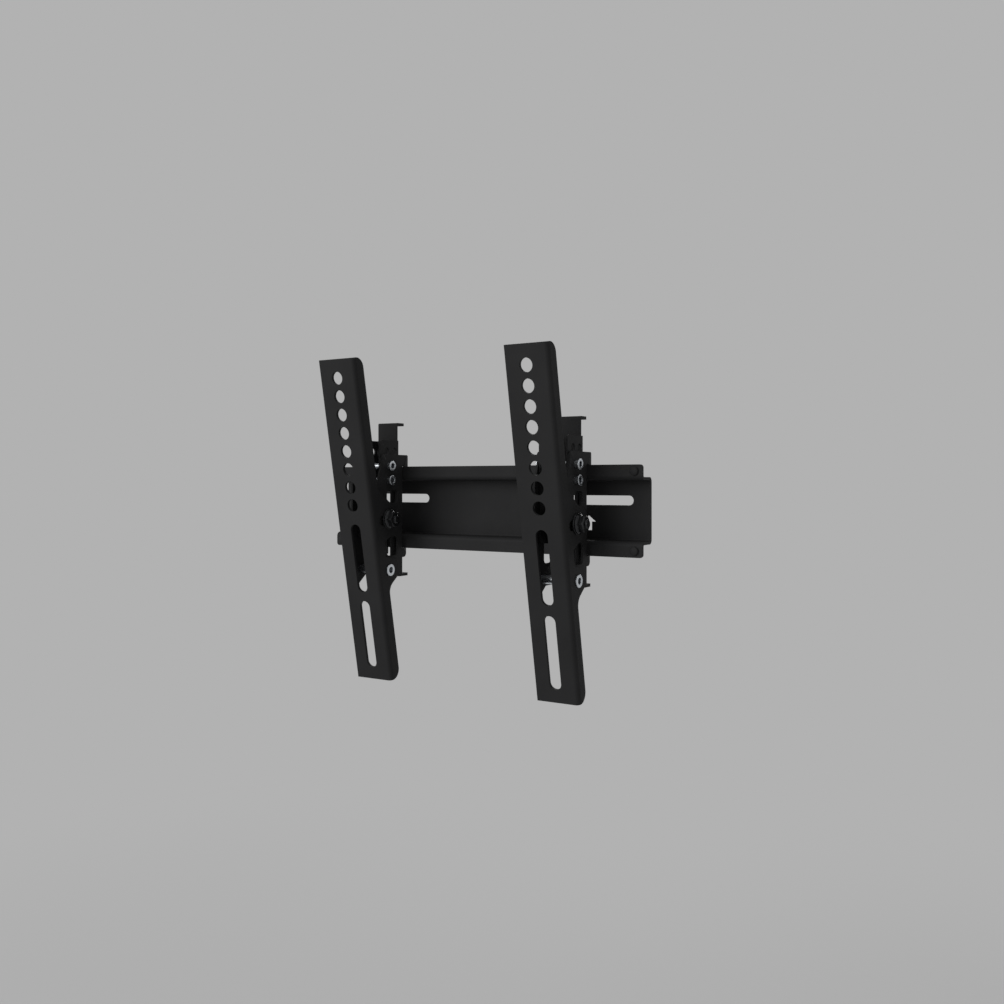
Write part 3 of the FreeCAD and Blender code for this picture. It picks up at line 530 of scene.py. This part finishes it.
def socket_screw(head, length, thread, pitch, plain, socket, depth):
    """A turned screw with its head's outline from zero up and a six-sided socket sunk in its face."""
    radius = thread / 2
    neck, neck_end = radius - NECK_DEPTH * pitch, -plain - NECK_LENGTH
    face = head[-1][0]
    blank = turned([(neck_end, 0), (neck_end, neck), (-plain, radius), (0, radius), *head, (face, 0)])
    hollow = combined("DIFFERENCE", blank, hexagon(face - depth, face + OVERSHOOT, socket))
    mouth = turned([(face - SOCKET_SINK, 0), (face - SOCKET_SINK, socket / 2),
                    (face + OVERSHOOT, socket / 2 + SOCKET_SINK + OVERSHOOT), (face + OVERSHOOT, 0)])
    return joined(combined("DIFFERENCE", hollow, mouth), threaded(-length, -plain, thread, pitch))


def bolt(length, thread, pitch, plain, head):
    """A bolt whose head sits at zero and whose shank runs to minus its length."""
    radius = thread / 2
    neck, neck_end = radius - NECK_DEPTH * pitch, -plain - NECK_LENGTH
    shank = turned([(TILT_HEAD_OVERLAP, 0), (TILT_HEAD_OVERLAP, radius), (-plain, radius),
                    (neck_end, neck), (neck_end, 0)])
    return joined(head, shank, threaded(-length, -plain, thread, pitch))


def coil(low, high, centre):
    """A compression spring along Z with one closed turn at each end, its wire round."""
    wire = bmesh.new()
    start = Matrix.Translation((centre.x + SPRING_DIAMETER / 2, centre.y, low + SPRING_WIRE / 2))
    circle = bmesh.ops.create_circle(wire, segments=SPRING_WIRE_STEPS, radius=SPRING_WIRE / 2,
                                     matrix=start @ Matrix.Rotation(math.pi / 2, 4, "X"))["verts"]
    end = circle + list({edge for vert in circle for edge in vert.link_edges})
    closed_rise = SPRING_CLOSED_TURNS * SPRING_WIRE
    open_rise = high - low - SPRING_WIRE - 2 * closed_rise
    for turns, rise in ((SPRING_CLOSED_TURNS, closed_rise), (SPRING_OPEN_TURNS, open_rise),
                        (SPRING_CLOSED_TURNS, closed_rise)):
        steps = SPRING_STEPS * turns
        end = bmesh.ops.spin(wire, geom=end, cent=(centre.x, centre.y, 0), axis=(0, 0, 1),
                             dvec=(0, 0, rise / steps), angle=math.tau * turns, steps=steps)["geom_last"]
    bmesh.ops.holes_fill(wire, edges=[edge for edge in wire.edges if edge.is_boundary])
    bmesh.ops.recalc_face_normals(wire, faces=wire.faces)
    return wire


# Placing of pieces
def place_on(solid, node, name, slot):
    """The solid as a piece that rides with the node."""
    mesh = as_mesh(solid, name)
    mesh.shade_smooth()
    mesh.set_sharp_from_angle(angle=SHARP_ANGLE)
    mesh.materials.append(finishes[slot])
    piece = bpy.data.objects.new(name, mesh)
    bpy.context.collection.objects.link(piece)
    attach(piece, body_of(frame["nodes"][node])[0])
    return piece


def place_for(solid, node, name, slot):
    """The solid as a piece that rides with the node and stands for it."""
    piece = place_on(solid, node, name, slot)
    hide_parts(node)
    return piece


def moved(solid, along, node, flipped=False):
    """The solid with its zero at this X on the node's own axis, turned end for end where it is flipped."""
    low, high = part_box(node)
    axis = (low + high) / 2
    stand = Matrix.Translation((along, axis.y, axis.z))
    if flipped:
        stand = stand @ Matrix.Rotation(math.pi, 4, "Z")
    bmesh.ops.transform(solid, matrix=stand, verts=solid.verts)
    return solid


# The pieces of each side
def pierce_bracket(side):
    """The hook bracket with a low window in its flange away from the arm."""
    node = f"{side}_hook_bracket"
    bracket = bmesh.new()
    bracket.from_mesh(frame["nodes"][node].data)
    bmesh.ops.remove_doubles(bracket, verts=bracket.verts, dist=MERGE_REACH)
    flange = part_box(node)[0].x
    punch = block((flange - FLANGE_REACH, WINDOW_FRONT, WINDOW_LOW),
                  (flange + FLANGE_REACH, WINDOW_REAR, WINDOW_HIGH))
    corners = [edge for edge in punch.edges
               if abs(edge.verts[0].co.x - edge.verts[1].co.x) > FLANGE_REACH]
    rounded_off(punch, corners, WINDOW_CORNER, WINDOW_CORNER_STEPS)
    place_for(combined("DIFFERENCE", bracket, punch), node, f"{node}_pierced", "powder_coat")


def add_latch_strips(side):
    """The strips at both sides of the latch's lower opening."""
    node = f"{side}_release_latch"
    low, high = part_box(node)
    middle = (low.x + high.x) / 2
    strips = []
    for start in (-STRIP_OUTER, STRIP_INNER):
        end = start + STRIP_OUTER - STRIP_INNER
        strip = block((middle + start, STRIP_FRONT, STRIP_LOW), (middle + end, STRIP_REAR, STRIP_HIGH))
        strips.append(rounded_off(strip, strip.edges[:], STRIP_EDGE, STRIP_EDGE_STEPS))
    place_on(joined(*strips), node, f"{node}_strips", "powder_coat")


def add_socket_screw(node, head, thread, pitch, plain, socket, depth):
    """A silver screw for the node, whose head faces +X."""
    low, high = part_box(node)
    seat = high.x - head[-1][0]
    screw = socket_screw(head, seat - low.x, thread, pitch, plain, socket, depth)
    place_for(moved(screw, seat, node), node, f"{node}_threaded", "zinc_plate")


def add_nut(node, flats, thread):
    """A silver nut for the node."""
    low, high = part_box(node)
    hex_nut = nut(high.x - low.x, flats, thread)
    place_for(moved(hex_nut, low.x, node), node, f"{node}_chamfered", "zinc_plate")


def add_cross_bolt(side, level):
    """A screw that clamps bracket and guide, with a shoulder under its head, and its nut."""
    shoulder = [(0, CROSS_SHOULDER / 2), (CROSS_SHOULDER_HEIGHT, CROSS_SHOULDER / 2)]
    head = shoulder + plain_head(CROSS_SHOULDER_HEIGHT, CROSS_HEAD_HEIGHT, CROSS_HEAD)
    add_socket_screw(f"{side}_{level}_cross_bolt", head, CROSS_THREAD, CROSS_PITCH, CROSS_PLAIN,
                     CROSS_SOCKET, CROSS_SOCKET_DEPTH)
    add_nut(f"{side}_{level}_cross_nut", CROSS_NUT_FLATS, CROSS_THREAD)


def add_pivot(side):
    """The screw that the arm tilts on, and its nut."""
    head = plain_head(0, PIVOT_HEAD_HEIGHT, PIVOT_HEAD)
    add_socket_screw(f"{side}_pivot_bolt", head, PIVOT_THREAD, COARSE_PITCH, PIVOT_PLAIN,
                     PIVOT_SOCKET, PIVOT_SOCKET_DEPTH)
    add_nut(f"{side}_pivot_nut", PIVOT_NUT_FLATS, PIVOT_THREAD)


def add_tilt_lock(side):
    """The black bolt and flange nut that lock the tilt."""
    node = f"{side}_tilt_bolt"
    low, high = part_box(node)
    seat = low.x + TILT_HEAD_HEIGHT
    head = chamfered_hexagon(TILT_HEAD_HEIGHT, TILT_HEAD_FLATS, both_ends=False)
    screw = bolt(high.x - seat, TILT_THREAD, COARSE_PITCH, TILT_PLAIN, head)
    place_for(moved(screw, seat, node, flipped=True), node, f"{node}_threaded", "black_steel")
    node = f"{side}_tilt_nut"
    low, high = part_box(node)
    lock = flange_nut(high.x - low.x, TILT_HEAD_FLATS, high.z - low.z, TILT_THREAD)
    place_for(moved(lock, low.x, node), node, f"{node}_flanged", "black_steel")


def add_washers(side):
    """The washers at pivot and tilt bolt, and the friction disc."""
    for node, thread, slot in ((f"{side}_pivot_washer", PIVOT_THREAD, "zinc_plate"),
                               (f"{side}_tilt_washer", TILT_THREAD, "black_steel"),
                               (f"{side}_tilt_disc", TILT_THREAD, "friction_disc")):
        low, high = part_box(node)
        washer = ring(high.x - low.x, thread + WASHER_CLEARANCE, high.z - low.z, WASHER_EDGE)
        place_for(moved(washer, low.x, node), node, f"{node}_turned", slot)


def add_spring(side):
    """The latch's spring, which shortens as the latch is pulled."""
    node = f"{side}_latch_spring"
    low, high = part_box(node)
    middle = (low + high) / 2
    spring = place_for(coil(low.z, high.z, middle), node, f"{node}_wound", "spring_steel")
    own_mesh(spring)


# The domes of the plate's pressed lugs
def lug_dome(out, up):
    """A hollow dome that stands on the rail's front at this X and Z."""
    skin = [(0, LUG_FOOT / 2)]
    for step in range(LUG_ARC_STEPS + 1):
        angle = LUG_ARC_START + (math.pi / 2 - LUG_ARC_START) * step / LUG_ARC_STEPS
        rise = LUG_SHOULDER + (LUG_CROWN - LUG_SHOULDER) * math.sin(angle)
        skin.append((rise, LUG_FOOT / 2 * math.cos(angle)))
    dome = turned([(LUG_CROWN / 2, 0), (LUG_CROWN / 2, LUG_CORE / 2), (0, LUG_CORE / 2), *skin])
    stand = Matrix.Translation((out, RAIL_FRONT, up)) @ Matrix.Rotation(-math.pi / 2, 4, "Z")
    bmesh.ops.transform(dome, matrix=stand, verts=dome.verts)
    return dome


for side in SIDES:
    pierce_bracket(side)
    add_latch_strips(side)
    for level in ("lower", "upper"):
        add_cross_bolt(side, level)
    add_pivot(side)
    add_tilt_lock(side)
    add_washers(side)
    add_spring(side)

domes = [lug_dome(out, up) for out in (-LUG_OUT, LUG_OUT) for up in (-LUG_UP, LUG_UP)]
place_on(joined(*domes), "wall_plate", "lug_domes", "powder_coat")


# Floor, light and camera
def make_floor():
    """A pale floor under the mount that fades into the background with distance."""
    material, tree, shader = new_finish("pale_floor")
    feed(tree, shader, {"Base Color": FLOOR_COLOUR, "Roughness": FLOOR_ROUGHNESS})
    far = add_node(tree, "ShaderNodeEmission", {"Color": BACKGROUND})
    distance = add_node(tree, "ShaderNodeVectorMath", {0: own_place(tree)}, operation="LENGTH")
    fade = add_node(tree, "ShaderNodeMapRange",
                    {"Value": distance.outputs["Value"], "From Min": FLOOR_DROP, "From Max": FLOOR_FADE_END},
                    interpolation_type="SMOOTHSTEP")
    blend = add_node(tree, "ShaderNodeMixShader",
                     {"Fac": fade.outputs["Result"], 1: shader.outputs["BSDF"], 2: far.outputs["Emission"]})
    feed(tree, tree.nodes["Material Output"], {"Surface": blend.outputs["Shader"]})
    flat = bmesh.new()
    bmesh.ops.create_circle(flat, cap_ends=True, segments=FLOOR_STEPS, radius=FLOOR_RADIUS,
                            matrix=Matrix.Translation((0, 0, -FLOOR_DROP)))
    floor = bpy.data.objects.new("floor", as_mesh(flat, "floor"))
    floor.data.materials.append(material)
    bpy.context.collection.objects.link(floor)


def make_world():
    """An even pale room: the background to the camera, to metal and to glass, and soft light to the rest."""
    world = bpy.data.worlds.new("studio")
    world.use_nodes = True
    bpy.context.scene.world = world
    tree = world.node_tree
    room = tree.nodes["Background"]
    feed(tree, room, {"Color": ROOM_LIGHT})
    seen = add_node(tree, "ShaderNodeBackground", {"Color": BACKGROUND})
    path = add_node(tree, "ShaderNodeLightPath", {})
    ray = path.outputs["Is Camera Ray"]
    for other in ("Is Glossy Ray", "Is Transmission Ray"):
        either = add_node(tree, "ShaderNodeMath", {0: ray, 1: path.outputs[other]}, operation="MAXIMUM")
        ray = either.outputs["Value"]
    blend = add_node(tree, "ShaderNodeMixShader",
                     {"Fac": ray, 1: room.outputs["Background"], 2: seen.outputs["Background"]})
    feed(tree, tree.nodes["World Output"], {"Surface": blend.outputs["Shader"]})


def add_softbox(name, place, size, watts):
    """A square soft lamp aimed at the mount."""
    lamp = bpy.data.lights.new(name, "AREA")
    lamp.size = size
    lamp.energy = watts
    softbox = bpy.data.objects.new(name, lamp)
    softbox.location = place
    softbox.rotation_euler = (-Vector(place)).to_track_quat("-Z", "Y").to_euler()
    softbox.visible_camera = False
    bpy.context.collection.objects.link(softbox)


def add_camera():
    """The camera where the photographer's stood."""
    lens = bpy.data.cameras.new("photo_camera")
    lens.sensor_width = CAMERA_SENSOR
    lens.lens = CAMERA_LENS
    lens.shift_x = CAMERA_SHIFT_X
    lens.shift_y = CAMERA_SHIFT_Y
    camera = bpy.data.objects.new("photo_camera", lens)
    camera.location = CAMERA_PLACE
    camera.rotation_euler = (math.pi / 2, 0, CAMERA_TURN)
    bpy.context.collection.objects.link(camera)
    bpy.context.scene.camera = camera


make_floor()
make_world()
for name, (place, size, watts) in SOFTBOXES.items():
    add_softbox(name, place, size, watts)
add_camera()
bpy.context.scene.view_settings.view_transform = "Standard"
